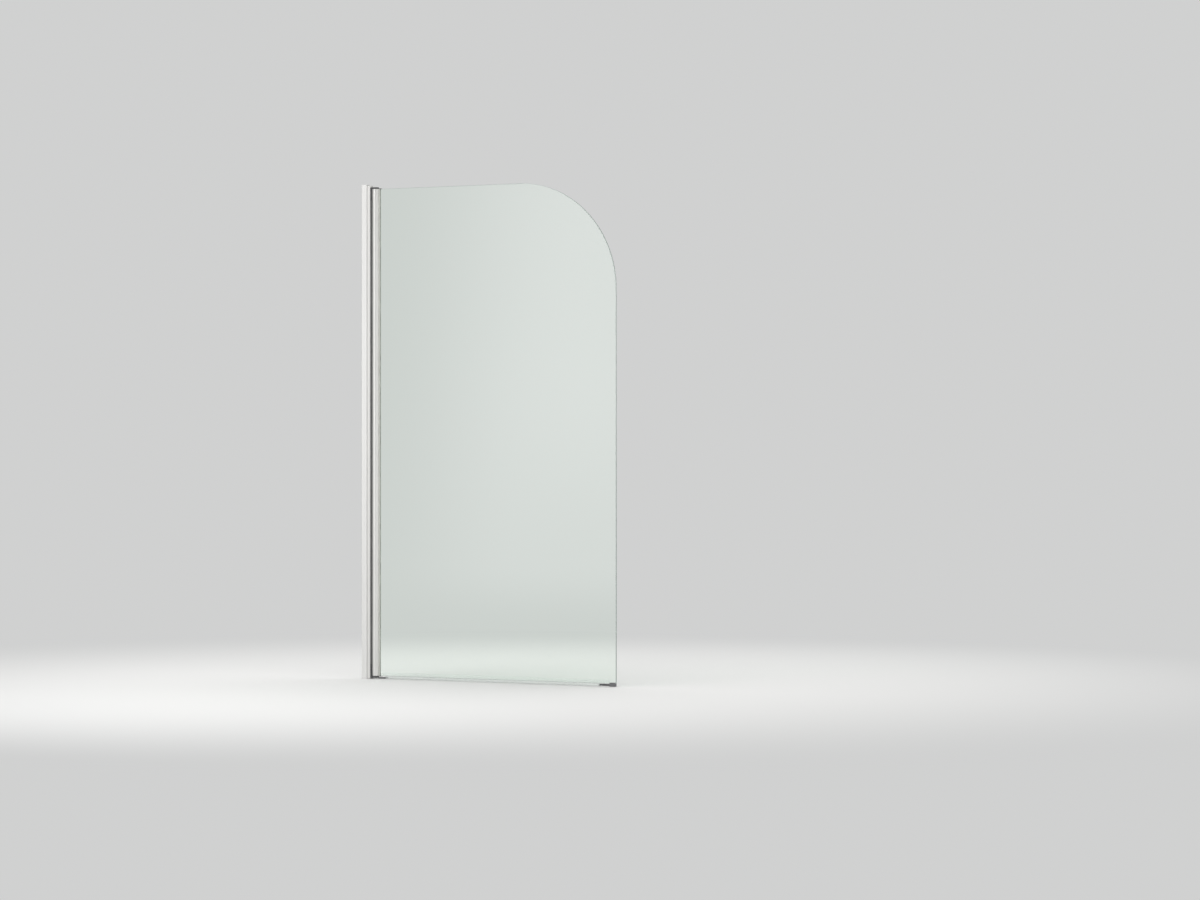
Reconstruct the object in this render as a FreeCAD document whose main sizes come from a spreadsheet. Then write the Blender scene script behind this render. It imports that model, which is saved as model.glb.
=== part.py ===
"""Pivoting bath screen: a toughened-glass panel with one large rounded corner on a wall-fixed hinge.

Frame, in millimetres: X runs out from the wall (the wall is X = 0), Y runs from the room side (-Y) to
the bath side (+Y), and Z runs up from the bath's rim (the rim is Z = 0). The glass stands in the plane
Y = 0 when the screen is closed, and the hinge turns about a vertical axis.

Fixed on the wall: a U-shaped wall profile, an adjusting profile that slides in it, a dark saddle strip,
and two bearing brackets whose arms reach over and under the post. Turning: the post with its glazing
channel, its bushes and caps, the gasket, the glass, and the clear drip seal with its two end pieces.
"""
import FreeCAD, Part
import os
import re

import Sketcher

SIZES = {
    # the whole screen
    "screen_width": 800,      # wall to the outer edge of the glass
    "profile_height": 1400,   # wall profile, from the rim up
    "glass_drop": 11,         # top of the glass below the top of the wall profile
    # glass
    "glass_thick": 6,
    "corner_radius": 300,     # upper outer corner
    "glass_nose": 3,          # radius of the other three corners
    "glass_arris": 0.7,       # ground edge
    "glass_bite": 5.5,        # glass inside the channel
    # wall profile
    "wall_width": 28,
    "wall_depth": 17,
    "wall_web": 1.8,
    "wall_leg": 1.5,
    "wall_round": 1.2,
    "wall_nose": 1.2,         # outer corner of each leg's end
    "guide_groove": 0.5,      # depth of the drilling guide along the middle of the web
    "guide_mouth": 0.6,       # half its width at the top
    "guide_bottom": 0.05,     # and at the bottom
    "wall_hole_radius": 2.75,
    "wall_hole_edge": 100,    # outer pair of holes, from the profile's ends
    "wall_hole_inner": 400,   # distance between the inner pair
    # adjusting profile
    "slide_gap": 0.5,
    "adjust_reveal": 9.6,     # how far it stands out of the wall profile
    "adjust_depth": 18.6,
    "adjust_web": 1.8,
    "adjust_leg": 1.5,
    "adjust_hook": 2,
    "adjust_round": 0.8,
    "adjust_drop": 3,         # top end below the wall profile's top
    "adjust_foot": 0.5,       # lower end above the rim
    "slot_mouth": 4,
    "slot_width": 8,
    "slot_depth": 3.2,
    "slot_wall": 1.4,
    # saddle strip between the adjusting profile and the post
    "seat_gap": 0.05,
    "strip_half": 10,
    "strip_middle": 1,
    "strip_edge": 3.6,
    "strip_gap": 0.3,         # between the strip's T-shaped foot and its slot
    # post and glazing channel
    "post_radius": 10,
    "post_gap": 0.35,         # between the post and the saddle
    "post_wall": 1.6,
    "boss_wall": 1.1,         # tube round the bushes
    "shoulder_angle": 50,     # where the round post turns into the channel
    "hollow_angle": 62,       # where the post's hollows start, from the glass side
    "web_angle": 9,           # half the web between the two hollows
    "channel_wall": 1.6,
    "channel_round": 0.5,
    # pivot
    "pin_radius": 2.5,
    "pin_reach": 20,
    "pin_head_radius": 4.4,
    "pin_head": 1.4,
    "running_gap": 0.05,
    "fit_gap": 0.02,
    "bush_wall": 0.95,
    "bush_length": 22,
    "flange_radius": 6.8,
    "flange_thick": 0.8,
    "washer_thick": 0.75,
    "washer_radius": 6.5,
    "thrust_gap": 0.05,
    "top_play": 1.2,          # over the upper bush, so that the weight rests on the lower one
    # bearing brackets
    "head_arm": 3,            # thickness of the upper arm
    "foot_arm": 4.6,          # thickness of the lower arm
    "foot_gap": 2.4,          # lower arm above the rim
    "bracket_leg": 34,
    "bracket_bevel": 1.2,
    "screw_drop": 16,         # bracket screws from the arm
    # bracket screws, from inside the adjusting profile
    "leg_screw_radius": 1.25,
    "leg_screw_grip": 3,      # into the bracket's leg
    "leg_screw_tip_gap": 0.2,
    "leg_screw_corner": 2.4,  # from the axis to a corner of the hexagon head
    "leg_screw_head": 1.5,
    # screws that fix the adjusting profile, on the bath side
    "screw_radius": 1.7,
    "screw_corner": 3.2,
    "screw_head": 1.8,
    "fix_count": 3,
    "fix_edge": 60,
    "fix_from_wall": 11.5,
    "fix_length": 9.5,
    "fix_hole_gap": 0.4,
    "cup_radius": 4.8,
    "cup_thick": 0.9,
    "cover_wall": 0.9,
    "cover_height": 4.6,
    "cover_bevel": 1,
    # caps
    "cap_plate": 1.6,
    "cap_round": 0.7,
    "cap_plug": 14,
    "cap_plug_wall": 1.3,
    "cap_gap": 0.3,
    "end_plate": 1.2,         # caps on the post's ends
    "end_prong": 8,
    "prong_half": 28,         # half the angle that a prong takes up
    "end_reach": 3.8,         # past the end of the gasket's lip
    "end_nose": 1.5,
    # gasket
    "gasket_wall": 1,
    "gasket_web": 0.9,
    "gasket_lip": 5.2,        # out of the channel, along the glass
    "gasket_tip": 0.9,
    "gasket_gap": 0.02,
    # drip seal under the glass
    "seal_wall": 1,
    "seal_base": 1,
    "seal_grip": 9.8,         # up the glass
    "seal_start": 1,          # from the end of the post's cap
    "bulb_half": 3.4,
    "bulb_wall": 0.8,
    "bulb_low": 1.2,          # lowest line of the bulb, above the rim
    "bulb_overlap": 0.3,
    "fin_thick": 0.8,
    "fin_reach": 8.6,         # from the middle of the glass to the fin's tip, on the bath side
    "fin_low": 1.2,
    # end pieces of the seal
    "inner_end_length": 22,
    "inner_end_half": 4,
    "inner_end_low": 1,
    "inner_end_high": 5.2,
    "inner_end_start": 1.6,   # clear of the lower arm
    "outer_end_inset": 1.8,   # from the outer edge of the glass
    "outer_end_length": 17,
    "outer_end_half": 4.8,
    "outer_end_low": 0.8,
    "outer_end_grip": 2.6,
    "outer_end_round": 1,
    "tongue_length": 31,
    "tongue_half": 3.4,
    "tongue_low": 2.2,
    "spigot_length": 4,
    "spigot_gap": 0.2,
}

# Places and sizes that follow from the sheet, each an expression in the names above.
PLACES = {
    "adjust_front": "wall_depth + adjust_reveal",
    "adjust_tail": "adjust_front - adjust_depth",
    "adjust_half": "wall_width / 2 - wall_leg - slide_gap",
    "adjust_high": "profile_height - adjust_drop",
    "strip_back": "adjust_front + seat_gap",
    "strip_front": "adjust_front + strip_edge",
    "axis_x": "adjust_front + strip_middle + post_gap + post_radius",
    "saddle_radius": "post_radius + post_gap",
    "saddle_half": "sqrt(saddle_radius ^ 2 - (axis_x - strip_front) ^ 2)",
    "pin_bore": "pin_radius + running_gap",
    "bush_radius": "pin_bore + bush_wall",
    "bush_bore": "bush_radius + fit_gap",
    "boss_radius": "bush_bore + boss_wall",
    "glass_half": "glass_thick / 2",
    "slot_half": "glass_half + gasket_wall",
    "neck_half": "slot_half + channel_wall",
    "glass_start": "boss_radius + gasket_web",
    "neck_end": "glass_start + glass_bite",
    "lip_end": "neck_end + gasket_lip",
    "foot_arm_top": "foot_gap + foot_arm",
    "post_low": "foot_arm_top + washer_thick + thrust_gap + flange_thick",
    "post_high": "profile_height - glass_drop",
    "head_arm_low": "post_high + flange_thick + top_play",
    "leg_screw_side": "(slot_width / 2 + slot_wall + adjust_half - adjust_leg) / 2",
    "cap_end": "lip_end + end_reach",
    "fix_pitch": "(profile_height - 2 * fix_edge) / (fix_count - 1)",
    "wall_inner_edge": "(profile_height - wall_hole_inner) / 2",
    "seal_low": "post_low - seal_base",
    "seal_half": "glass_half + seal_wall",
    "seal_from": "axis_x + cap_end + seal_start",
    "seal_to": "screen_width - outer_end_inset - outer_end_length",
    "bulb_centre": "bulb_low + bulb_half",
    "inner_end_from": "axis_x + strip_half + inner_end_start",
    "bulb_from": "inner_end_from + inner_end_length",
    "bulb_to": "seal_to - tongue_length",
    "hollow_high": "seal_low - bulb_overlap",
    "spigot_half": "bulb_half - bulb_wall - spigot_gap",
}

NAME = re.compile(r"[a-z][a-z_]*")


def bind(text):
    """An expression on the sheet's cells, from one in the names of SIZES and PLACES."""
    def cell(match):
        word = match.group(0)
        if word in PLACES:
            return "(" + bind(PLACES[word]) + ")"
        return "Sizes." + word if word in SIZES else word
    return NAME.sub(cell, text)


def make_sheet(doc):
    """The spreadsheet with one named cell for each driving size."""
    sheet = doc.addObject("Spreadsheet::Sheet", "Sizes")
    for row, (name, value) in enumerate(SIZES.items(), start=1):
        sheet.set(f"A{row}", name)
        sheet.set(f"B{row}", str(value))
        sheet.setAlias(f"B{row}", name)
    doc.recompute()
    return sheet


doc = FreeCAD.newDocument("BathScreen")
sheet = make_sheet(doc)


def number(text):
    """The present value of an expression."""
    result = sheet.evalExpression(bind(text))
    return float(getattr(result, "Value", result))


def vector(x, y):
    return FreeCAD.Vector(number(x), number(y), 0)


# ---------------------------------------------------------------- drawing

def new_body(name, x="0", y="0", z="0", rotation=FreeCAD.Rotation()):
    """A body whose Label names its file, placed by expressions."""
    body = doc.addObject("PartDesign::Body", name)
    body.Label = name
    body.Placement = FreeCAD.Placement(FreeCAD.Vector(number(x), number(y), number(z)), rotation)
    for axis, text in zip("xyz", (x, y, z)):
        body.setExpression(f"Placement.Base.{axis}", bind(text))
    return body


def origin_feature(body, role):
    return next(item for item in body.Origin.OriginFeatures if item.Role == role)


def new_sketch(body, plane, offset="0"):
    """An empty sketch on one of the body's own planes, moved along that plane's normal."""
    sketch = body.newObject("Sketcher::SketchObject", body.Name + "_sketch")
    sketch.AttachmentSupport = [(origin_feature(body, plane), "")]
    sketch.MapMode = "FlatFace"
    sketch.AttachmentOffset = FreeCAD.Placement(FreeCAD.Vector(0, 0, number(offset)), FreeCAD.Rotation())
    sketch.setExpression("AttachmentOffset.Base.z", bind(offset))
    return sketch


def dimension(sketch, kind, text, *where):
    """A dimension bound to the sheet."""
    index = sketch.addConstraint(Sketcher.Constraint(kind, *where, number(text)))
    sketch.setExpression(f"Constraints[{index}]", bind(text))


def pin_point(sketch, geometry, end, x, y):
    """Holds one end (1 start, 2 end, 3 centre) of a piece of geometry at a place."""
    dimension(sketch, "DistanceX", x, -1, 1, geometry, end)
    dimension(sketch, "DistanceY", y, -1, 1, geometry, end)


def arc_shape(start, end, centre, turn):
    """The arc from start to end round centre, counter-clockwise for turn +1."""
    first, last = (start, end) if turn > 0 else (end, start)
    circle = Part.Circle(centre, FreeCAD.Vector(0, 0, 1), (start - centre).Length)
    return Part.ArcOfCircle(circle, circle.parameter(first), circle.parameter(last))


def draw(sketch, corners):
    """A closed outline. A corner is (x, y), or (x, y, (centre x, centre y, turn)) where an arc leaves it
    for the next corner. The arc's centre is held across its chord, where it is free to move."""
    first = sketch.GeometryCount
    count = len(corners)
    ends = []                                   # which end of each piece meets its own corner
    for index, corner in enumerate(corners):
        start = vector(*corner[:2])
        following = corners[(index + 1) % count]
        end = vector(*following[:2])
        if len(corner) == 2:
            sketch.addGeometry(Part.LineSegment(start, end), False)
            ends.append((1, 2))
            continue
        centre_x, centre_y, turn = corner[2]
        geometry = sketch.addGeometry(arc_shape(start, end, vector(centre_x, centre_y), turn), False)
        if abs(end.y - start.y) > abs(end.x - start.x):
            dimension(sketch, "DistanceX", centre_x, -1, 1, geometry, 3)
        else:
            dimension(sketch, "DistanceY", centre_y, -1, 1, geometry, 3)
        ends.append((1, 2) if turn > 0 else (2, 1))
    for index, corner in enumerate(corners):
        before = (index - 1) % count
        sketch.addConstraint(Sketcher.Constraint(
            "Coincident", first + before, ends[before][1], first + index, ends[index][0]))
        pin_point(sketch, first + index, ends[index][0], *corner[:2])


def draw_circle(sketch, x, y, radius):
    circle = Part.Circle(vector(x, y), FreeCAD.Vector(0, 0, 1), number(radius))
    geometry = sketch.addGeometry(circle, False)
    dimension(sketch, "Radius", radius, geometry)
    pin_point(sketch, geometry, 3, x, y)


def polar(radius, angle):
    return f"{radius} * cos({angle})", f"{radius} * sin({angle})"


def mirrored(half):
    """The corners of a half outline at +y, then the same ones at -y in the opposite order."""
    return half + [(x, f"-({y})") for x, y in reversed(half)]


def extrude(body, kind, sketch, length, away=False, middle=False):
    """A Pad or Pocket of a sketch. A pad follows the sketch's normal and a pocket goes against it,
    unless away turns it round."""
    feature = body.newObject(f"PartDesign::{kind}", f"{body.Name}_{kind.lower()}")
    feature.Profile = sketch
    feature.setExpression("Length", bind(length))
    feature.Reversed = away
    if middle:
        feature.Midplane = True
    doc.recompute()
    return feature


def pad(body, sketch, length, **options):
    return extrude(body, "Pad", sketch, length, **options)


def pocket(body, sketch, length, **options):
    """A pocket that must take material away."""
    before = body.Shape.Volume
    feature = extrude(body, "Pocket", sketch, length, **options)
    if body.Shape.Volume >= before:
        raise RuntimeError(f"{feature.Name} cuts nothing")
    return feature


def revolve(body, sketch, kind="Revolution"):
    """A full turn of a sketch on the XZ plane about the body's Z axis."""
    feature = body.newObject(f"PartDesign::{kind}", f"{body.Name}_turn")
    feature.Profile = sketch
    feature.ReferenceAxis = (sketch, ["V_Axis"])
    feature.Angle = 360
    doc.recompute()
    return feature


def edges_where(shape, test):
    return [f"Edge{index}" for index, edge in enumerate(shape.Edges, start=1) if test(edge)]


def soften(body, kind, size, test):
    """A Fillet or Chamfer on the edges of the body that pass the test."""
    base = body.Tip
    names = edges_where(base.Shape, test)
    if not names:
        raise RuntimeError(f"{body.Name} has no edge to soften")
    feature = body.newObject(f"PartDesign::{kind}", f"{body.Name}_{kind.lower()}")
    feature.Base = (base, names)
    feature.setExpression("Radius" if kind == "Fillet" else "Size", bind(size))
    doc.recompute()
    return feature


def near(value, text, margin=0.01):
    return abs(value - number(text)) < margin


def is_upright(edge):
    """Whether a straight edge runs along the body's own Z axis."""
    box = edge.BoundBox
    return isinstance(edge.Curve, Part.Line) and box.XLength < 0.01 and box.YLength < 0.01


def repeat(body, features, axis, away, pitch, count):
    """The same features again and again along one of the body's axes."""
    row = body.newObject("PartDesign::LinearPattern", body.Name + "_row")
    row.Originals = features
    row.Direction = (origin_feature(body, axis), [""])
    row.Reversed = away
    row.Mode = "Spacing"
    row.setExpression("Offset", bind(pitch))
    row.setExpression("Occurrences", bind(count))
    body.Tip = row
    doc.recompute()


UPSIDE_DOWN = FreeCAD.Rotation(FreeCAD.Vector(1, 0, 0), 180)
Z_TO_BATH_SIDE = FreeCAD.Rotation(FreeCAD.Vector(1, 0, 0), -90)     # local Z to +Y, local -Y to +Z
Z_TO_WALL = FreeCAD.Rotation(FreeCAD.Vector(0, 1, 0), -90)          # local Z to -X, local X to +Z


# ---------------------------------------------------------------- wall and adjusting profiles

def fix_heights():
    """Heights of the screws that fix the adjusting profile."""
    return [f"fix_edge + {index} * fix_pitch" for index in range(SIZES["fix_count"])]


def bracket_screw_heights():
    """Heights of the bracket screws, above and below."""
    return ["head_arm_low - screw_drop", "foot_arm_top + screw_drop"]


def wall_profile():
    """U-shaped extrusion: a web on the wall and two legs, with a drilling guide down the web."""
    body = new_body("wall_profile")
    section = new_sketch(body, "XY_Plane")
    half, inner = "wall_width / 2", "wall_width / 2 - wall_leg"
    draw(section, mirrored([
        ("wall_web - guide_groove", "guide_bottom"), ("wall_web", "guide_mouth"),
        ("wall_web", inner), ("wall_depth", inner), ("wall_depth", half), ("0", half)]))
    pad(body, section, "profile_height")
    soften(body, "Fillet", "wall_round", lambda edge: is_upright(edge) and near(
        edge.BoundBox.XMin, "0") and near(abs(edge.BoundBox.YMin), half))
    soften(body, "Fillet", "wall_nose", lambda edge: is_upright(edge) and near(
        edge.BoundBox.XMin, "wall_depth") and near(abs(edge.BoundBox.YMin), half))
    wall_holes = new_sketch(body, "YZ_Plane")
    for height in ("wall_hole_edge", "wall_inner_edge",
                   "profile_height - wall_inner_edge", "profile_height - wall_hole_edge"):
        draw_circle(wall_holes, "0", height, "wall_hole_radius")
    pocket(body, wall_holes, "wall_web", away=True)
    fix_holes = new_sketch(body, "XZ_Plane")
    for height in fix_heights():
        draw_circle(fix_holes, "fix_from_wall", height, "screw_radius + fix_hole_gap")
    pocket(body, fix_holes, half)
    return body


def adjusting_profile():
    """Extrusion that slides in the wall profile: a box open to the wall, with a T-slot in its front."""
    body = new_body("adjusting_profile", z="adjust_foot")
    section = new_sketch(body, "XY_Plane")
    half, inner = "adjust_half", "adjust_half - adjust_leg"
    hook_front = "adjust_tail + adjust_leg"
    web_back = "adjust_front - adjust_web"
    slot_back = "adjust_front - adjust_web - slot_depth"
    draw(section, mirrored([
        (slot_back, "slot_width / 2"), (web_back, "slot_width / 2"), (web_back, "slot_mouth / 2"),
        ("adjust_front", "slot_mouth / 2"), ("adjust_front", half), ("adjust_tail", half),
        ("adjust_tail", inner + " - adjust_hook"), (hook_front, inner + " - adjust_hook"),
        (hook_front, inner), (web_back, inner), (web_back, "slot_width / 2 + slot_wall"),
        (slot_back + " - slot_wall", "slot_width / 2 + slot_wall")]))
    pad(body, section, "adjust_high - adjust_foot")
    soften(body, "Fillet", "adjust_round", lambda edge: is_upright(edge) and near(
        edge.BoundBox.XMin, "adjust_front") and near(abs(edge.BoundBox.YMin), half))
    bracket_holes = new_sketch(body, "YZ_Plane", "adjust_front")
    for height in bracket_screw_heights():
        for side in ("leg_screw_side", "-leg_screw_side"):
            draw_circle(bracket_holes, side, height + " - adjust_foot", "leg_screw_radius + fit_gap")
    pocket(body, bracket_holes, "adjust_web")
    fix_holes = new_sketch(body, "XZ_Plane")
    for height in fix_heights():
        draw_circle(fix_holes, "fix_from_wall", height + " - adjust_foot", "screw_radius + fit_gap")
    pocket(body, fix_holes, half)
    return body


def plug(body, left, right, half):
    """The hollow plug under a cap's plate, open at its lower end."""
    outside = new_sketch(body, "XY_Plane")
    draw(outside, mirrored([(right, half), (left, half)]))
    pad(body, outside, "cap_plug", away=True)
    inside = new_sketch(body, "XY_Plane", "-cap_plug")
    draw(inside, mirrored([(right + " - cap_plug_wall", half + " - cap_plug_wall"),
                           (left + " + cap_plug_wall", half + " - cap_plug_wall")]))
    pocket(body, inside, "cap_plug - cap_plate", away=True)


def round_plate_top(body):
    """Rounds the upper rim of a cap's plate."""
    soften(body, "Fillet", "cap_round", lambda edge: near(edge.BoundBox.ZMin, "cap_plate")
           and near(edge.BoundBox.ZMax, "cap_plate"))


def wall_profile_cap():
    """Moulded cap on the wall profile's upper end, plugged in between the web and the inner profile."""
    body = new_body("wall_profile_cap", z="profile_height")
    plate = new_sketch(body, "XY_Plane")
    draw(plate, mirrored([("wall_depth", "wall_width / 2"), ("0", "wall_width / 2")]))
    pad(body, plate, "cap_plate")
    plug(body, "wall_web + cap_gap", "adjust_tail - cap_gap", "wall_width / 2 - wall_leg - cap_gap")
    round_plate_top(body)
    return body


def adjusting_profile_cap():
    """Moulded cap on the adjusting profile's upper end."""
    body = new_body("adjusting_profile_cap", z="adjust_high")
    plate = new_sketch(body, "XY_Plane")
    draw(plate, mirrored([("adjust_front", "adjust_half"), ("adjust_tail", "adjust_half")]))
    pad(body, plate, "cap_plate")
    plug(body, "adjust_tail + adjust_leg + cap_gap",
         "adjust_front - adjust_web - slot_depth - slot_wall - cap_gap",
         "adjust_half - adjust_leg - cap_gap")
    round_plate_top(body)
    return body


# ---------------------------------------------------------------- screws

def screw(body, radius, length, corner, head):
    """A hexagon-head screw along the body's Z axis, its head standing on Z = 0."""
    shank = new_sketch(body, "XY_Plane")
    draw_circle(shank, "0", "0", radius)
    hexagon = new_sketch(body, "XY_Plane")
    draw(hexagon, [polar(corner, str(angle)) for angle in range(0, 360, 60)])
    return [pad(body, shank, length, away=True), pad(body, hexagon, head)]


def bracket_screws(name, height):
    """Two screws side by side, from inside the adjusting profile into a bracket's leg."""
    body = new_body(name, x="adjust_front - adjust_web", y="-leg_screw_side", z=height, rotation=Z_TO_WALL)
    features = screw(body, "leg_screw_radius", "adjust_web + seat_gap + leg_screw_grip",
                     "leg_screw_corner", "leg_screw_head")
    repeat(body, features, "Y_Axis", False, "2 * leg_screw_side", "2")
    return body


def fixing_screws():
    """The screws that hold the adjusting profile in the wall profile, heads on the bath side."""
    body = new_body("fixing_screws", x="fix_from_wall", y="wall_width / 2 + cup_thick", z="fix_edge",
                    rotation=Z_TO_BATH_SIDE)
    features = screw(body, "screw_radius", "fix_length", "screw_corner", "screw_head")
    repeat(body, features, "Y_Axis", True, "fix_pitch", "fix_count")
    return body


def cup_washers():
    """The washers under the fixing screws, which the covers snap over."""
    body = new_body("cup_washers", x="fix_from_wall", y="wall_width / 2", z="fix_edge",
                    rotation=Z_TO_BATH_SIDE)
    ring = new_sketch(body, "XY_Plane")
    draw_circle(ring, "0", "0", "cup_radius")
    draw_circle(ring, "0", "0", "screw_radius + fix_hole_gap")
    repeat(body, [pad(body, ring, "cup_thick")], "Y_Axis", True, "fix_pitch", "fix_count")
    return body


def screw_covers():
    """Snap-on covers over the fixing screws: hollow, with a bevelled top."""
    body = new_body("screw_covers", x="fix_from_wall", y="wall_width / 2", z="fix_edge",
                    rotation=Z_TO_BATH_SIDE)
    profile = new_sketch(body, "XZ_Plane")
    inner, outer = "cup_radius + running_gap", "cup_radius + running_gap + cover_wall"
    draw(profile, [
        (inner, "0"), (outer, "0"), (outer, "cover_height - cover_bevel"),
        (outer + " - cover_bevel", "cover_height"), ("0", "cover_height"),
        ("0", "cover_height - cover_wall"), (inner, "cover_height - cover_wall")])
    repeat(body, [revolve(body, profile)], "Y_Axis", True, "fix_pitch", "fix_count")
    return body


# ---------------------------------------------------------------- saddle strip and bearing brackets

def saddle_front():
    """The strip's front: flat edges and a hollow that follows the post."""
    return [
        ("strip_front", "-strip_half"), ("strip_front", "-saddle_half", ("axis_x", "0", -1)),
        ("strip_front", "saddle_half"), ("strip_front", "strip_half")]


def hinge_strip():
    """Dark strip between the brackets, pushed into the adjusting profile's T-slot by its foot."""
    body = new_body("hinge_strip", z="foot_arm_top + bracket_leg")
    section = new_sketch(body, "XY_Plane")
    foot_front = "adjust_front - adjust_web - strip_gap"
    foot_back = "adjust_front - adjust_web - slot_depth + strip_gap"
    neck, foot = "slot_mouth / 2 - strip_gap", "slot_width / 2 - strip_gap"
    back = [("strip_back", "strip_half"), ("strip_back", neck), (foot_front, neck),
            (foot_front, foot), (foot_back, foot)]
    draw(section, saddle_front() + mirrored(back))
    pad(body, section, "head_arm_low - foot_arm_top - 2 * bracket_leg")
    return body


def bearing_bracket(name, arm, height, rotation):
    """Moulded bracket: a leg on the adjusting profile's face, shaped to the post like the strip, and an
    arm with the pivot pin's hole over the post's end. The post lies below the arm, at -Z."""
    body = new_body(name, z=height, rotation=rotation)
    plan = new_sketch(body, "XY_Plane")
    draw(plan, [
        ("strip_back", "-strip_half"), ("axis_x", "-strip_half", ("axis_x", "0", 1)),
        ("axis_x", "strip_half"), ("strip_back", "strip_half")])
    pad(body, plan, arm)
    soften(body, "Chamfer", "bracket_bevel", lambda edge: near(edge.BoundBox.ZMin, arm))
    leg = new_sketch(body, "XY_Plane")
    draw(leg, saddle_front() + [("strip_back", "strip_half"), ("strip_back", "-strip_half")])
    pad(body, leg, "bracket_leg", away=True)
    pin_hole = new_sketch(body, "XY_Plane")
    draw_circle(pin_hole, "axis_x", "0", "pin_radius + fit_gap")
    pocket(body, pin_hole, arm, away=True)
    head_seat = new_sketch(body, "XY_Plane", arm)
    draw_circle(head_seat, "axis_x", "0", "pin_head_radius + running_gap")
    pocket(body, head_seat, "pin_head")
    screw_holes = new_sketch(body, "YZ_Plane", "strip_back")
    for side in ("leg_screw_side", "-leg_screw_side"):
        draw_circle(screw_holes, side, "-screw_drop", "leg_screw_radius + fit_gap")
    pocket(body, screw_holes, "leg_screw_grip + leg_screw_tip_gap", away=True)
    return body


def pivot_pin(name, arm, gap, height, rotation):
    """Steel pin: its head lies in the arm's outer face and its shank reaches into the post's bush."""
    body = new_body(name, x="axis_x", z=height, rotation=rotation)
    profile = new_sketch(body, "XZ_Plane")
    tip, neck = f"-({gap} + pin_reach)", f"{arm} - pin_head"
    draw(profile, [("0", tip), ("pin_radius", tip), ("pin_radius", neck),
                   ("pin_head_radius", neck), ("pin_head_radius", arm), ("0", arm)])
    revolve(body, profile)
    return body


def thrust_washer():
    """The ring that carries the screen's weight on the lower arm."""
    body = new_body("thrust_washer", x="axis_x", z="foot_arm_top")
    ring = new_sketch(body, "XY_Plane")
    draw_circle(ring, "0", "0", "washer_radius")
    draw_circle(ring, "0", "0", "pin_bore")
    pad(body, ring, "washer_thick")
    return body


# ---------------------------------------------------------------- post, bushes and caps

def hollow(side):
    """A hollow of the post between its boss and its shell, on side +1 or -1."""
    inner, outer = "boss_radius", "(post_radius - post_wall)"
    start, end = "hollow_angle", "(180 - web_angle)"
    if side < 0:
        start, end = f"(360 - {end})", f"(360 - {start})"
    return [
        polar(inner, start), (*polar(outer, start), ("0", "0", 1)),
        polar(outer, end), (*polar(inner, end), ("0", "0", -1))]


def prong(side):
    """A cap's prong, with flat sides, in the middle of the hollow on side +1 or -1."""
    middle = f"{side} * (hollow_angle + 180 - web_angle) / 2"
    inner, outer = "(boss_radius + cap_gap) / cos(prong_half)", "(post_radius - post_wall - cap_gap)"
    return [polar(inner, f"({middle} - prong_half)"), polar(outer, f"({middle} - prong_half)"),
            polar(outer, f"({middle} + prong_half)"), polar(inner, f"({middle} + prong_half)")]


def post_outline(tip, tip_half):
    """The post's round back and its shoulders, drawn in to the channel's end at tip."""
    shoulder_x, shoulder_y = polar("post_radius", "shoulder_angle")
    return [
        (shoulder_x, shoulder_y, ("0", "0", 1)),
        (shoulder_x, f"-({shoulder_y})"), (tip, f"-({tip_half})")]


def pivot_profile():
    """Extruded post: a shell, a boss for the bushes, two hollows, and the channel for the glass."""
    body = new_body("pivot_profile", x="axis_x", z="post_low")
    section = new_sketch(body, "XY_Plane")
    draw(section, post_outline("neck_end", "neck_half") + [
        ("neck_end", "-slot_half"), ("boss_radius", "-slot_half"), ("boss_radius", "slot_half"),
        ("neck_end", "slot_half"), ("neck_end", "neck_half")])
    draw_circle(section, "0", "0", "bush_bore")
    draw(section, hollow(1))
    draw(section, hollow(-1))
    pad(body, section, "post_high - post_low")
    soften(body, "Fillet", "channel_round", lambda edge: is_upright(edge) and near(
        edge.BoundBox.XMin, "neck_end"))
    return body


def pivot_bush(name, height, rotation):
    """Flanged plastic bush pressed into the post's boss, with the pin's bore right through."""
    body = new_body(name, x="axis_x", z=height, rotation=rotation)
    profile = new_sketch(body, "XZ_Plane")
    draw(profile, [
        ("pin_bore", "-bush_length"), ("bush_radius", "-bush_length"), ("bush_radius", "0"),
        ("flange_radius", "0"), ("flange_radius", "flange_thick"), ("pin_bore", "flange_thick")])
    revolve(body, profile)
    return body


def post_cap(name, height, rotation):
    """Moulded cap on the post's end: a plate round the bush's flange, and prongs in the hollows."""
    body = new_body(name, x="axis_x", z=height, rotation=rotation)
    plate = new_sketch(body, "XY_Plane")
    tip_half = "glass_half + gasket_tip"
    draw(plate, post_outline("cap_end", tip_half) + [("cap_end", tip_half)])
    draw_circle(plate, "0", "0", "flange_radius + cap_gap")
    pad(body, plate, "end_plate")
    soften(body, "Fillet", "end_nose", lambda edge: is_upright(edge) and near(
        edge.BoundBox.XMin, "cap_end"))
    prongs = new_sketch(body, "XY_Plane")
    for side in (1, -1):
        draw(prongs, prong(side))
    pad(body, prongs, "end_prong", away=True)
    return body


# ---------------------------------------------------------------- glass, gasket and seal

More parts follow.
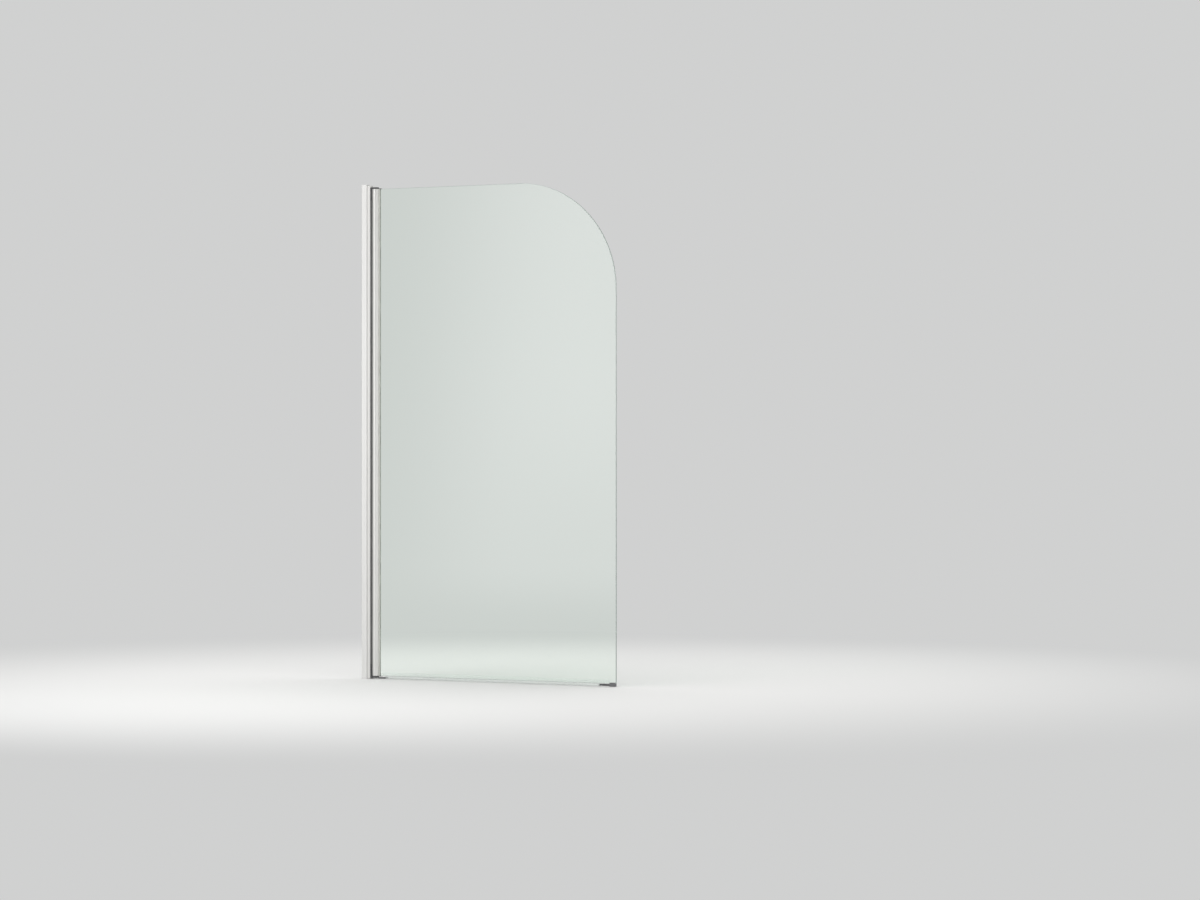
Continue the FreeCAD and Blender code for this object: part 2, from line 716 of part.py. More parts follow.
def glass_panel():
    """Toughened glass with one large rounded corner, small corners elsewhere and ground edges."""
    body = new_body("glass_panel")
    face = new_sketch(body, "XZ_Plane")
    left, right, low, high = "axis_x + glass_start", "screen_width", "post_low", "post_high"
    nose, large = "glass_nose", "corner_radius"
    draw(face, [
        (f"{left} + {nose}", low),
        (f"{right} - {nose}", low, (f"{right} - {nose}", f"{low} + {nose}", 1)),
        (right, f"{low} + {nose}"),
        (right, f"{high} - {large}", (f"{right} - {large}", f"{high} - {large}", 1)),
        (f"{right} - {large}", high),
        (f"{left} + {nose}", high, (f"{left} + {nose}", f"{high} - {nose}", 1)),
        (left, f"{high} - {nose}"),
        (left, f"{low} + {nose}", (f"{left} + {nose}", f"{low} + {nose}", 1))])
    pad(body, face, "glass_thick", middle=True)
    soften(body, "Chamfer", "glass_arris", lambda edge: edge.BoundBox.YLength < 0.01)
    return body


def glazing_gasket():
    """Flexible gasket: a U round the glass in the channel, with lips that taper out along the glass."""
    body = new_body("glazing_gasket", x="axis_x", z="post_low")
    section = new_sketch(body, "XY_Plane")
    inside, outside = "glass_half + gasket_gap", "slot_half - gasket_gap"
    draw(section, mirrored([
        ("glass_start - gasket_gap", inside), ("lip_end", inside), ("lip_end", "glass_half + gasket_tip"),
        ("neck_end + gasket_gap", "neck_half"), ("neck_end + gasket_gap", outside),
        ("boss_radius + gasket_gap", outside)]))
    pad(body, section, "post_high - post_low")
    return body


def drip_seal():
    """Clear seal on the lower edge of the glass: a grip, a hollow bulb and a fin on the bath side."""
    body = new_body("drip_seal")
    grip = new_sketch(body, "YZ_Plane", "seal_from")
    grip_high = "post_low + seal_grip"
    inside = "glass_half + gasket_gap"
    draw(grip, [
        ("-seal_half", "seal_low"), ("seal_half", "seal_low"), ("seal_half", grip_high),
        (inside, grip_high), (inside, "post_low - gasket_gap"),
        (f"-({inside})", "post_low - gasket_gap"), (f"-({inside})", grip_high),
        ("-seal_half", grip_high)])
    pad(body, grip, "seal_to - seal_from")
    bulb = new_sketch(body, "YZ_Plane", "bulb_from")
    joined = "seal_low + bulb_overlap"
    draw(bulb, [
        ("-bulb_half", joined), ("-bulb_half", "bulb_centre", ("0", "bulb_centre", 1)),
        ("bulb_half", "bulb_centre"), ("bulb_half", joined)])
    cavity = "bulb_half - bulb_wall"
    draw(bulb, [
        (f"-({cavity})", "hollow_high"), (f"-({cavity})", "bulb_centre", ("0", "bulb_centre", 1)),
        (cavity, "bulb_centre"), (cavity, "hollow_high")])
    pad(body, bulb, "bulb_to - bulb_from")
    fin = new_sketch(body, "YZ_Plane", "bulb_from")
    draw(fin, [
        ("seal_half - bulb_overlap", "seal_low"), ("fin_reach - fin_thick", "fin_low"),
        ("fin_reach", "fin_low"), ("seal_half", "seal_low + fin_thick"),
        ("seal_half - bulb_overlap", "seal_low + fin_thick")])
    pad(body, fin, "bulb_to - bulb_from")
    return body


def spigot(body, start, away):
    """The round-bottomed peg of an end piece, which plugs into the seal's bulb."""
    peg = new_sketch(body, "YZ_Plane", start)
    draw(peg, [
        ("-spigot_half", "hollow_high - spigot_gap"),
        ("-spigot_half", "bulb_centre", ("0", "bulb_centre", 1)),
        ("spigot_half", "bulb_centre"), ("spigot_half", "hollow_high - spigot_gap")])
    pad(body, peg, "spigot_length", away=away)


def seal_inner_end():
    """Dark end piece of the seal, beside the lower arm."""
    body = new_body("seal_inner_end")
    block = new_sketch(body, "YZ_Plane", "inner_end_from")
    draw(block, [("-inner_end_half", "inner_end_low"), ("inner_end_half", "inner_end_low"),
                 ("inner_end_half", "inner_end_high"), ("-inner_end_half", "inner_end_high")])
    pad(body, block, "inner_end_length")
    soften(body, "Fillet", "outer_end_round", lambda edge: edge.BoundBox.XLength > 1
           and near(edge.BoundBox.ZMin, "inner_end_low"))
    spigot(body, "bulb_from", False)
    return body


def seal_end_block():
    """Dark outer end piece: a block round the glass's lower corner, and a tongue under the seal."""
    body = new_body("seal_end_block")
    block = new_sketch(body, "YZ_Plane", "seal_to")
    high, inside = "post_low + outer_end_grip", "glass_half + gasket_gap"
    draw(block, [
        ("-outer_end_half", "outer_end_low"), ("outer_end_half", "outer_end_low"),
        ("outer_end_half", high), (inside, high), (inside, "post_low - gasket_gap"),
        (f"-({inside})", "post_low - gasket_gap"), (f"-({inside})", high), ("-outer_end_half", high)])
    pad(body, block, "outer_end_length")
    soften(body, "Fillet", "outer_end_round", lambda edge: edge.BoundBox.XLength > 1
           and near(edge.BoundBox.ZMin, "outer_end_low"))
    tongue = new_sketch(body, "YZ_Plane", "seal_to")
    tongue_high = "seal_low - gasket_gap"
    draw(tongue, [("-tongue_half", "tongue_low"), ("tongue_half", "tongue_low"),
                  ("tongue_half", tongue_high), ("-tongue_half", tongue_high)])
    pad(body, tongue, "tongue_length", away=True)
    spigot(body, "bulb_to", True)
    return body


# ---------------------------------------------------------------- the assembly

def build():
    """Every sub-part, the fixed ones first."""
    upright = FreeCAD.Rotation()
    head_gap, foot_gap = "flange_thick + top_play", "washer_thick + thrust_gap + flange_thick"
    return [
        wall_profile(), wall_profile_cap(), adjusting_profile(), adjusting_profile_cap(),
        fixing_screws(), cup_washers(), screw_covers(), hinge_strip(),
        bearing_bracket("bearing_bracket_top", "head_arm", "head_arm_low", upright),
        bearing_bracket("bearing_bracket_bottom", "foot_arm", "foot_arm_top", UPSIDE_DOWN),
        bracket_screws("bracket_screws_top", "head_arm_low - screw_drop"),
        bracket_screws("bracket_screws_bottom", "foot_arm_top + screw_drop"),
        pivot_pin("pivot_pin_top", "head_arm", head_gap, "head_arm_low", upright),
        pivot_pin("pivot_pin_bottom", "foot_arm", foot_gap, "foot_arm_top", UPSIDE_DOWN),
        thrust_washer(),
        pivot_profile(),
        pivot_bush("pivot_bush_top", "post_high", upright),
        pivot_bush("pivot_bush_bottom", "post_low", UPSIDE_DOWN),
        post_cap("post_cap_top", "post_high", upright),
        post_cap("post_cap_bottom", "post_low", UPSIDE_DOWN),
        glazing_gasket(), glass_panel(), drip_seal(), seal_inner_end(), seal_end_block()]


def check(bodies):
    """Stops on a failed object or a sub-part without a sound solid."""
    for item in doc.Objects:
        if any(word in item.State for word in ("Invalid", "Error")):
            raise RuntimeError(f"{item.Name} failed: {item.State}")
    for body in bodies:
        shape = body.Shape
        if shape.isNull() or not shape.isValid() or not shape.Solids:
            raise RuntimeError(f"{body.Label} has no valid solid")


def export(bodies):
    os.makedirs("parts", exist_ok=True)
    for body in bodies:
        body.Shape.exportStep(f"parts/{body.Label}.step")
        box = body.Shape.BoundBox
        reach = (box.XMin, box.XMax, box.YMin, box.YMax, box.ZMin, box.ZMax)
        print(f"{body.Label:24s} {len(body.Shape.Solids)} solid(s)", *(f"{value:9.2f}" for value in reach))


bodies = build()
doc.recompute()
check(bodies)
export(bodies)
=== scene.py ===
"""Bath screen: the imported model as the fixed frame, with its finishes, floor, light and camera.

Metres, in the part's own frame: +X from the wall to the outer edge of the glass, +Y to the bath side,
+Z up from the bath's rim.
"""
import math

import bmesh
import bpy
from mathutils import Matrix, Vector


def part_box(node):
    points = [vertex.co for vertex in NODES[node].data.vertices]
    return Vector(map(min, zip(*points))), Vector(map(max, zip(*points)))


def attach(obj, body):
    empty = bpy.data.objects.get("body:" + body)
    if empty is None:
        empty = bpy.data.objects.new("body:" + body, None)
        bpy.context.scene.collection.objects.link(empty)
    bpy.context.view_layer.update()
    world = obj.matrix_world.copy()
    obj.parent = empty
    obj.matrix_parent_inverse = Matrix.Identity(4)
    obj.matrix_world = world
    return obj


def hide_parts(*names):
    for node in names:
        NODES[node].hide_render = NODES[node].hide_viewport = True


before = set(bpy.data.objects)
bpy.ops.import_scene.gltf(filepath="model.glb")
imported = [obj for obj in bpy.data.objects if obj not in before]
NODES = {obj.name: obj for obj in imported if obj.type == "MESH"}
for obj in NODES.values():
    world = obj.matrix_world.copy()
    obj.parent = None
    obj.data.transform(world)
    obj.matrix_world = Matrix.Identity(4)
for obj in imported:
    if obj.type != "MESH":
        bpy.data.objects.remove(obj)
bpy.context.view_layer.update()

MM = 0.001
MICRON = 0.000001

# ---------------------------------------------------------------- camera, from the photograph's own lines
CAMERA_AT = (4.934, -8.3635, 0.6488)
CAMERA_YAW = 26.578                 # degrees, to the left of +Y
CAMERA_SENSOR = 36.0                # mm across
CAMERA_LENS = 102.22                # mm
CAMERA_NEAR, CAMERA_FAR = 0.1, 100.0

# ---------------------------------------------------------------- stage
BACKDROP = (0.632, 0.636, 0.634)    # what the camera, glass and metal see round the object
FLOOR_COLOUR = (0.80, 0.80, 0.79)
FLOOR_SIZE = 40.0
FLOOR_MIDDLE = (0.4, 0, 0)          # under the middle of the object
FLOOR_FADE = (0.7, 2.6)             # from there: where the floor starts and ends its change to the backdrop
FLOOR_DROP = 0.2 * MM               # keeps the floor's face off the object's lowest faces
SKY_COLOUR = (1, 1, 1)
SKY_LIGHT = 0.92

# Area lamps. size is width and height, and brightness is that of the lamp's face. A fade is an axis, two
# places along it, and the share of the brightness at each: the face changes smoothly between them.
LAMPS = {
    "key": dict(
        at=(-1.6, -3.4, 3.6), aim=(0.35, 0.0, 0.5), size=(2.0, 2.0), brightness=1.5),
    "room_side": dict(
        at=(-0.8, -2.5, 1.2), aim=(-0.8, 0.0, 1.2), size=(4.4, 2.5), brightness=1.5,
        fades=(("Z", 0.0, 0.25, 0.09, 1.0), ("Z", 0.3, 1.8, 1.0, 0.1), ("X", -3.0, -2.0, 0.0, 1.0),
               ("X", -1.5, -0.8, 0.15, 1.0), ("X", 0.7, 1.4, 1.0, 0.0))),
    "pane_glow": dict(
        at=(-0.55, -2.45, 1.2), aim=(-0.55, 0.0, 1.2), size=(1.8, 2.4), brightness=2.2,
        fades=(("Z", 0.2, 1.0, 0.0, 1.0), ("Z", 0.8, 1.6, 0.7, 1.0),
               ("X", -1.4, -0.5, 0.0, 1.0), ("X", -0.1, 0.35, 1.0, 0.0))),
    "bath_side": dict(
        at=(1.9, 3.2, 1.3), aim=(0.4, 0.0, 0.8), size=(2.8, 2.6), brightness=1.5,
        fades=(("Z", 0.1, 1.1, 0.0, 1.0), ("Z", 1.7, 2.5, 1.0, 0.0),
               ("X", 0.7, 1.5, 0.0, 1.0), ("X", 2.3, 3.1, 1.0, 0.0))),
}

GLASS_IOR = 1.52
# The sockets of a Mix node that mixes colours.
MIX_FACTOR, MIX_FIRST, MIX_SECOND, MIX_RESULT = 0, 6, 7, 2


class Nodes:
    """A node tree being put together: node() adds a node, and sets or joins its inputs."""

    def __init__(self, tree):
        self.tree = tree

    def node(self, kind, inputs=None, **settings):
        made = self.tree.nodes.new("ShaderNode" + kind)
        for key, value in settings.items():
            setattr(made, key, value)
        for key, value in (inputs or {}).items():
            if isinstance(value, bpy.types.NodeSocket):
                self.tree.links.new(value, made.inputs[key])
            else:
                made.inputs[key].default_value = value
        return made

    def maths(self, operation, first, second):
        return self.node("Math", {0: first, 1: second}, operation=operation).outputs[0]

    def add(self, first, second):
        return self.maths("ADD", first, second)

    def spread(self, value, low, high, start=0.3, end=0.7, **settings):
        """value from start..end to low..high."""
        inputs = {"Value": value, "From Min": start, "From Max": end, "To Min": low, "To Max": high}
        return self.node("MapRange", inputs, **settings).outputs[0]

    def ease(self, value, start, end, low=0.0, high=1.0):
        """The same, with a smooth start and end."""
        return self.spread(value, low, high, start, end, interpolation_type="SMOOTHSTEP")

    def sees_background(self):
        """1 for rays from the camera, off metal and through glass; 0 for light that falls on the object."""
        path = self.node("LightPath").outputs
        seen = self.maths("MAXIMUM", path["Is Camera Ray"], path["Is Glossy Ray"])
        return self.maths("MAXIMUM", seen, path["Is Transmission Ray"])


class Finish(Nodes):
    """A material being put together."""

    def __init__(self, name):
        self.material = bpy.data.materials.new(name)
        self.material.use_nodes = True
        super().__init__(self.material.node_tree)
        self.tree.nodes.clear()
        self.output = self.node("OutputMaterial")

    def place(self, scale=(1, 1, 1)):
        """Object coordinates in metres, scaled."""
        where = self.node("TexCoord").outputs["Object"]
        return self.node("Mapping", {"Vector": where, "Scale": scale}).outputs[0]

    def noise(self, scale, detail=2.0, roughness=0.5, distortion=0.0):
        """Noise whose features are about 1 / scale metres across each way."""
        inputs = {"Vector": self.place(scale), "Scale": 1.0, "Detail": detail,
                  "Roughness": roughness, "Distortion": distortion}
        return self.node("TexNoise", inputs).outputs[0]

    def blend(self, factor, first, second):
        """first where factor is 0, second where it is 1. A colour is a tuple of three, or a socket."""
        first, second = ((*colour, 1) if isinstance(colour, tuple) else colour for colour in (first, second))
        inputs = {MIX_FACTOR: factor, MIX_FIRST: first, MIX_SECOND: second}
        return self.node("Mix", inputs, data_type="RGBA").outputs[MIX_RESULT]

    def bump(self, height, depth, strength=1.0, under=None):
        """A normal for height's relief of this depth, in metres, on top of the normal under."""
        inputs = {"Height": height, "Distance": depth, "Strength": strength}
        if under:
            inputs["Normal"] = under
        return self.node("Bump", inputs).outputs[0]

    def end_in(self, shader):
        self.tree.links.new(shader.outputs[0], self.output.inputs["Surface"])

    def show(self, **inputs):
        """Ends the material in a Principled shader with these inputs."""
        shader = self.node("BsdfPrincipled", {key.replace("_", " "): value for key, value in inputs.items()})
        self.end_in(shader)
        return shader

    def let_lamps_through(self, shader, tint):
        """Lamps shine through the surface, tinted, so that it throws only a faint shadow."""
        shadow = self.node("LightPath").outputs["Is Shadow Ray"]
        clear = self.node("BsdfTransparent", {"Color": (*tint, 1)})
        self.end_in(self.node("MixShader", {0: shadow, 1: shader.outputs[0], 2: clear.outputs[0]}))


def satin_aluminium(name, dark, light):
    """Satin anodised extrusion: fine lines along its length, faint bands and a cloudy etch."""
    f = Finish(name)
    lines = f.noise((2600, 2600, 9), detail=3, roughness=0.6)
    bands = f.noise((260, 260, 1.2), detail=2)
    cloud = f.noise((14, 14, 5), detail=3)
    grain = f.noise((5200, 5200, 5200), detail=1)
    colour = f.blend(f.add(f.spread(bands, 0, 0.55), f.spread(cloud, 0, 0.45)), dark, light)
    shine = f.add(f.spread(lines, 0.44, 0.5), f.spread(cloud, 0.0, 0.05))
    drawn = f.bump(lines, depth=12 * MICRON, strength=0.6)
    f.show(Base_Color=colour, Metallic=0.7, Roughness=shine,
           Normal=f.bump(grain, depth=6 * MICRON, strength=0.4, under=drawn))
    return f.material


def stainless_steel():
    """Brushed stainless steel. Its turning rings are too fine to see."""
    f = Finish("stainless_steel")
    grain = f.noise((1800, 1800, 1800), detail=3)
    tone = f.noise((160, 160, 160), detail=2)
    colour = f.blend(f.spread(tone, 0, 1), (0.42, 0.416, 0.405), (0.54, 0.535, 0.522))
    f.show(Base_Color=colour, Metallic=1.0, Roughness=f.spread(grain, 0.34, 0.46),
           Normal=f.bump(grain, depth=10 * MICRON, strength=0.5))
    return f.material


def moulded(name, dark, light, rough, pits, depth, painted_stretches=()):
    """Moulded plastic with a spark-eroded texture: pits is how many there are to a metre.

    Lengths of the part in another colour are given as (from x, to x, colour); here they hold painted light
    and painted shade.
    """
    f = Finish(name)
    fine = f.noise((pits, pits, pits), detail=2, roughness=0.6)
    cells = f.node("TexVoronoi", {"Vector": f.place((pits * 0.7,) * 3), "Scale": 1.0}).outputs["Distance"]
    rubbed = f.noise((45, 45, 45), detail=4, roughness=0.65)
    colour = f.blend(f.spread(rubbed, 0, 1, 0.35, 0.7), dark, light)
    for start, end, painted_tone in painted_stretches:
        x = f.node("SeparateXYZ", {0: f.place()}).outputs["X"]
        in_painted_stretch = f.maths("MULTIPLY", f.maths("GREATER_THAN", x, start), f.maths("LESS_THAN", x, end))
        colour = f.blend(in_painted_stretch, colour, painted_tone)
    height = f.add(f.spread(fine, 0, 0.7), f.spread(cells, 0, 0.3, 0, 1))
    shine = f.add(f.spread(rubbed, rough - 0.06, rough + 0.04), f.spread(fine, -0.03, 0.05))
    f.show(Base_Color=colour, Roughness=shine, IOR=1.5, Normal=f.bump(height, depth, strength=0.8))
    return f.material


def extruded(name, dark, light, rough, waves, depth, **more):
    """Soft extruded strip with faint draw lines along its length: waves is how many there are to a metre."""
    f = Finish(name)
    fine = f.noise((waves * 4, waves * 4, 12), detail=2)
    coarse = f.noise((waves, waves, 2), detail=3)
    dust = f.noise((70, 70, 30), detail=4, roughness=0.7)
    colour = f.blend(f.spread(dust, 0, 1, 0.4, 0.75), dark, light)
    shine = f.add(f.spread(coarse, rough - 0.06, rough + 0.04), f.spread(dust, -0.02, 0.04))
    height = f.add(f.spread(fine, 0, 0.4), f.spread(coarse, 0, 0.6))
    f.show(Base_Color=colour, Roughness=shine, Normal=f.bump(height, depth, strength=0.7), **more)
    return f.material


def clear_glass():
    """Float glass: clear faces with a hardly seen film of dried water."""
    f = Finish("clear_glass")
    film = f.noise((7, 7, 3), detail=5, roughness=0.7, distortion=0.6)
    shader = f.show(Base_Color=(0.943, 1.0, 0.958, 1), Roughness=f.spread(film, 0.0, 0.03, 0.45, 0.8),
                    IOR=GLASS_IOR, Specular_IOR_Level=0.9, Transmission_Weight=1.0)
    f.let_lamps_through(shader, tint=(0.9, 0.95, 0.92))
    return f.material


def ground_edge():
    """The pane's finely ground edge: green-grey and frosted, with the wheel's faint marks along it."""
    f = Finish("ground_edge")
    marks = f.noise((500, 2500, 500), detail=3)
    grain = f.noise((4000, 4000, 4000), detail=2)
    colour = f.blend(f.spread(marks, 0, 1), (0.44, 0.51, 0.475), (0.53, 0.60, 0.56))
    shader = f.show(Base_Color=colour, Roughness=f.spread(grain, 0.3, 0.42), IOR=GLASS_IOR,
                    Transmission_Weight=0.35,
                    Normal=f.bump(f.add(marks, grain), depth=12 * MICRON, strength=0.5))
    f.let_lamps_through(shader, tint=(0.6, 0.68, 0.64))
    return f.material


def clear_vinyl():
    """Clear soft seal: a little cloudy, with draw lines along it."""
    f = Finish("clear_vinyl")
    lines = f.noise((3, 900, 900), detail=2)
    cloud = f.noise((30, 120, 120), detail=3)
    shader = f.show(Base_Color=(0.985, 0.995, 0.99, 1), Roughness=f.spread(cloud, 0.08, 0.16), IOR=1.18,
                    Transmission_Weight=0.95, Normal=f.bump(lines, depth=8 * MICRON, strength=0.3))
    f.let_lamps_through(shader, tint=(0.95, 0.97, 0.96))
    return f.material


FINISHES = {
    "satin_aluminium": satin_aluminium("satin_aluminium",
                                       dark=(0.60, 0.595, 0.579), light=(0.665, 0.66, 0.644)),
    "light_plastic": moulded("light_plastic", dark=(0.60, 0.60, 0.58), light=(0.70, 0.70, 0.685),
                             rough=0.42, pits=2400, depth=15 * MICRON),
    "stainless_steel": stainless_steel(),
    "dark_strip": extruded("dark_strip", dark=(0.10, 0.10, 0.10), light=(0.14, 0.14, 0.138),
                           rough=0.58, waves=700, depth=30 * MICRON),
    "dark_plastic": moulded("dark_plastic", dark=(0.058, 0.059, 0.062), light=(0.085, 0.086, 0.089),
                            rough=0.46, pits=1700, depth=30 * MICRON),
    "white_acetal": moulded("white_acetal", dark=(0.74, 0.74, 0.71), light=(0.80, 0.80, 0.78),
                            rough=0.3, pits=900, depth=6 * MICRON),
    "grey_gasket": extruded("grey_gasket", dark=(0.86, 0.865, 0.815), light=(0.94, 0.945, 0.895),
                            rough=0.5, waves=600, depth=30 * MICRON, IOR=1.4, Transmission_Weight=0.6),
    "clear_glass": clear_glass(),
    "clear_vinyl": clear_vinyl(),
}
for node in NODES.values():
    for slot in node.material_slots:
        slot.material = FINISHES[slot.material.name.split(".")[0]]


def seal_end(name, *painted_stretches):
    """The seal's end pieces: greyer than the brackets, in two or three tones, of which the pale spigot is
    painted light and the dark tongue painted shade.
    """
    return moulded(name, dark=(0.10, 0.101, 0.105), light=(0.14, 0.141, 0.146),
                   rough=0.42, pits=1700, depth=30 * MICRON, painted_stretches=painted_stretches)


SPIGOT = 4 * MM                     # how far an end piece reaches into the seal's bulb
TONGUE = 31 * MM                    # the thin part of the outer end piece
# Painted light: the spigots are pale where they sit in the clear bulb, to read as the bright bulb round them.
SPIGOT_PAINTED_LIGHT = (0.70, 0.71, 0.70)
# Painted shade: the tongue is darker than the block, for the shade it lies in inside the clear seal.
TONGUE_PAINTED_SHADE = (0.05, 0.051, 0.054)
inner_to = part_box("seal_inner_end")[1].x
outer_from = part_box("seal_end_block")[0].x
tongue_from = outer_from + SPIGOT
# These nodes have their slot's finish in the tone that the photograph shows on them.
VARIANTS = {
    # Painted light: the wall profile's copy of satin aluminium is lighter, for the brighter light it gets
    # than the adjusting profile and post.
    "wall_profile": satin_aluminium("satin_aluminium_painted_light_wall",
                                    dark=(0.65, 0.647, 0.636), light=(0.71, 0.707, 0.694)),
    "seal_inner_end": seal_end("inner_end_plastic_painted_light", (inner_to - SPIGOT, inner_to + MM, SPIGOT_PAINTED_LIGHT)),
    "seal_end_block": seal_end("end_block_plastic_painted_light_and_shade", (outer_from - MM, tongue_from, SPIGOT_PAINTED_LIGHT),
                               (tongue_from, tongue_from + TONGUE, TONGUE_PAINTED_SHADE)),
}
for name, finish in VARIANTS.items():
    NODES[name].material_slots[0].material = finish


# ---------------------------------------------------------------- pieces made here
PANE_BEVEL = 0.7 * MM
PANE_ARC = (300 * MM, 96)           # the large corner's radius, and the facets round it
PANE_CORNER = (3 * MM, 10)          # the same for the three small corners
EDGE_SLOT = 1                       # the ground edge's place among the pane's materials

COVER_WALL = 0.9 * MM
COVER_LIP = 0.15 * MM               # chamfer at the foot
COVER_SKIRT = 1.5 * MM              # height of the upright part
COVER_GROOVE = 0.25 * MM            # depth and height of the fingernail groove
COVER_LEDGE = 0.2 * MM              # from the skirt to the foot of the dome
COVER_SHOULDER = (2.2, 1.5)         # the hollow's bevel, in walls from the side and from the top
COVER_FACETS = 56                   # round the axis
DOME_STEP = 6                       # degrees
SHARP_EDGE = math.radians(35)       # edges that turn more than this stay sharp


def add_piece(name, shape, body, slot, *replaced, more=()):
    """Takes a bmesh as a piece that rides on a body, with a slot's finish, in place of CAD nodes."""
    mesh = bpy.data.meshes.new(name)
    bmesh.ops.recalc_face_normals(shape, faces=shape.faces)
    shape.to_mesh(mesh)
    shape.free()
    for finish in (FINISHES[slot], *more):
        mesh.materials.append(finish)
    made = bpy.data.objects.new(name, mesh)
    bpy.context.scene.collection.objects.link(made)
    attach(made, body)
    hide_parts(*replaced)


def pane_outline(box, corners, inset):
    """The pane's outline moved in by inset, as (x, z), round its corners from the large one on."""
    (left, _, low), (right, _, high) = box
    places = ((right, high), (left, high), (left, low), (right, low))
    points = []
    for quarter, ((x, z), (radius, steps)) in enumerate(zip(places, corners)):
        centre_x = x - radius if x == right else x + radius
        centre_z = z - radius if z == high else z + radius
        for step in range(steps + 1):
            angle = math.radians(90 * (quarter + step / steps))
            points.append((centre_x + (radius - inset) * math.cos(angle),
                           centre_z + (radius - inset) * math.sin(angle)))
    return points


def glass_pane():
    """The pane with its true arc, and a ground bevel round both faces."""
    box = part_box("glass_panel")
    half = box[1].y
    corners = (PANE_ARC, PANE_CORNER, PANE_CORNER, PANE_CORNER)
    shape = bmesh.new()
    rings = []
    for y, inset in ((-half, PANE_BEVEL), (PANE_BEVEL - half, 0), (half - PANE_BEVEL, 0), (half, PANE_BEVEL)):
        rings.append([shape.verts.new((x, y, z)) for x, z in pane_outline(box, corners, inset)])
    for first, second in zip(rings, rings[1:]):
        for i, vert in enumerate(first):
            after = (i + 1) % len(first)
            side = shape.faces.new((vert, first[after], second[after], second[i]))
            side.smooth, side.material_index = True, EDGE_SLOT
    for ring in rings:
        for i, vert in enumerate(ring):
            shape.edges.get((vert, ring[(i + 1) % len(ring)])).smooth = False
    shape.faces.new(rings[0])
    shape.faces.new(rings[-1])
    add_piece("glass_pane", shape, "screen", "clear_glass", "glass_panel", more=[ground_edge()])


def turned(shape, profile, x, y, z, steps):
    """A closed profile of (radius, height) turned about an axis along +Y from (x, y, z)."""
    angles = [2 * math.pi * i / steps for i in range(steps)]
    rings = []
    for radius, height in profile:
        around = angles if radius else angles[:1]
        rings.append([shape.verts.new((x + radius * math.cos(a), y + height, z + radius * math.sin(a)))
                      for a in around])
    for first, second in zip(rings, rings[1:] + rings[:1]):
        for i in range(steps if len(first) + len(second) > 2 else 0):
            after = (i + 1) % steps
            corners = [first[i % len(first)], first[after % len(first)],
                       second[after % len(second)], second[i % len(second)]]
            shape.faces.new(list(dict.fromkeys(corners))).smooth = True


def cover_domes():
    """Domed snap-on covers over the three fixing screws, each with a fingernail groove round its skirt."""
    low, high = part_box("screw_covers")
    radius, height = (high.x - low.x) / 2, high.y - low.y
    foot = COVER_SKIRT + COVER_LEDGE
    angles = [math.radians(degrees) for degrees in range(0, 90, DOME_STEP)]
    dome = [(radius * math.cos(angle), foot + (height - foot) * math.sin(angle)) for angle in angles]
    profile = [
        (radius - COVER_WALL, 0), (radius - COVER_LIP, 0), (radius, COVER_LIP),
        (radius, COVER_SKIRT - COVER_GROOVE), (radius - COVER_GROOVE, COVER_SKIRT - COVER_GROOVE / 2),
        *dome, (0, height), (0, height - COVER_WALL),
        (radius - COVER_SHOULDER[0] * COVER_WALL, height - COVER_SHOULDER[1] * COVER_WALL),
        (radius - COVER_WALL, COVER_SKIRT + COVER_WALL),
    ]
    shape = bmesh.new()
    for z in (low.z + radius, (low.z + high.z) / 2, high.z - radius):
        turned(shape, profile, (low.x + high.x) / 2, low.y, z, COVER_FACETS)
    for edge in shape.edges:
        edge.smooth = len(edge.link_faces) < 2 or edge.calc_face_angle() < SHARP_EDGE
    add_piece("cover_domes", shape, "wall_side", "light_plastic", "screw_covers")


glass_pane()
cover_domes()


# ---------------------------------------------------------------- floor, world, lamps, camera
def make_floor():
    f = Finish("floor")
    half = FLOOR_SIZE / 2
    mesh = bpy.data.meshes.new("floor")
    corners = [(x, y, -FLOOR_DROP) for x, y in ((-half, -half), (half, -half), (half, half), (-half, half))]
    mesh.from_pydata(corners, [], [(0, 1, 2, 3)])
    floor = bpy.data.objects.new("floor", mesh)
    bpy.context.scene.collection.objects.link(floor)
    lit = f.node("BsdfDiffuse", {"Color": (*FLOOR_COLOUR, 1)})
    plain = f.node("Emission", {"Color": (*BACKDROP, 1), "Strength": 1.0})
    here = f.node("VectorMath", {0: f.place(), 1: FLOOR_MIDDLE}, operation="SUBTRACT").outputs[0]
    far = f.node("VectorMath", {0: here}, operation="LENGTH").outputs["Value"]
    share = f.maths("MULTIPLY", f.ease(far, *FLOOR_FADE), f.sees_background())
    f.end_in(f.node("MixShader", {0: share, 1: lit.outputs[0], 2: plain.outputs[0]}))
    mesh.materials.append(f.material)


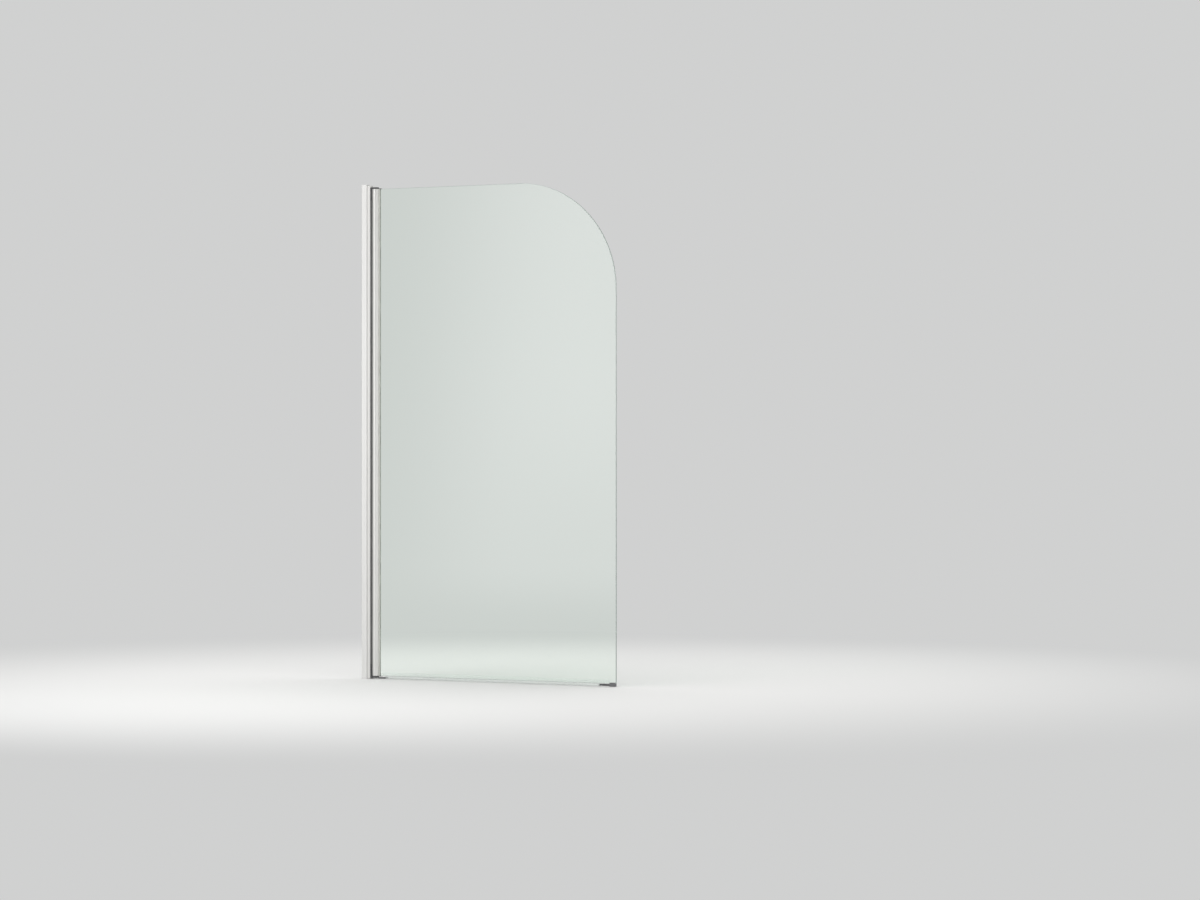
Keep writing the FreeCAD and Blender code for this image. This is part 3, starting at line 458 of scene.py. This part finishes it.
def make_world():
    world = bpy.data.worlds.new("studio")
    world.use_nodes = True
    world.node_tree.nodes.clear()
    sky = Nodes(world.node_tree)
    light = sky.node("Background", {"Color": (*SKY_COLOUR, 1), "Strength": SKY_LIGHT})
    seen = sky.node("Background", {"Color": (*BACKDROP, 1)})
    both = sky.node("MixShader", {0: sky.sees_background(), 1: light.outputs[0], 2: seen.outputs[0]})
    sky.node("OutputWorld", {"Surface": both.outputs[0]})
    bpy.context.scene.world = world


def fade_lamp(data, fades):
    """Makes a lamp's face brighter in some places than in others."""
    data.use_nodes = True
    face = Nodes(data.node_tree)
    place = face.node("SeparateXYZ", {0: face.node("NewGeometry").outputs["Position"]}).outputs
    share = 1.0
    for axis, start, end, first, last in fades:
        share = face.maths("MULTIPLY", share, face.ease(place[axis], start, end, first, last))
    face.tree.links.new(share, face.tree.nodes["Emission"].inputs["Strength"])


def make_lamp(name, at, aim, size, brightness, fades=()):
    data = bpy.data.lights.new(name, "AREA")
    data.shape, (data.size, data.size_y) = "RECTANGLE", size
    data.energy = brightness * math.pi * size[0] * size[1]
    if fades:
        fade_lamp(data, fades)
    lamp = bpy.data.objects.new(name, data)
    lamp.location = at
    towards = [a - b for a, b in zip(aim, at)]
    across = math.hypot(towards[0], towards[1])
    lamp.rotation_euler = (math.atan2(across, -towards[2]), 0, math.atan2(-towards[0], towards[1]))
    lamp.visible_camera = lamp.visible_transmission = False
    bpy.context.scene.collection.objects.link(lamp)


def make_camera():
    data = bpy.data.cameras.new("camera")
    data.sensor_width, data.lens = CAMERA_SENSOR, CAMERA_LENS
    data.clip_start, data.clip_end = CAMERA_NEAR, CAMERA_FAR
    camera = bpy.data.objects.new("camera", data)
    camera.location = CAMERA_AT
    camera.rotation_euler = (math.radians(90), 0, math.radians(CAMERA_YAW))
    bpy.context.scene.collection.objects.link(camera)
    bpy.context.scene.camera = camera


make_floor()
make_world()
for lamp_name, lamp in LAMPS.items():
    make_lamp(lamp_name, **lamp)
make_camera()
bpy.context.scene.view_settings.view_transform = "Standard"
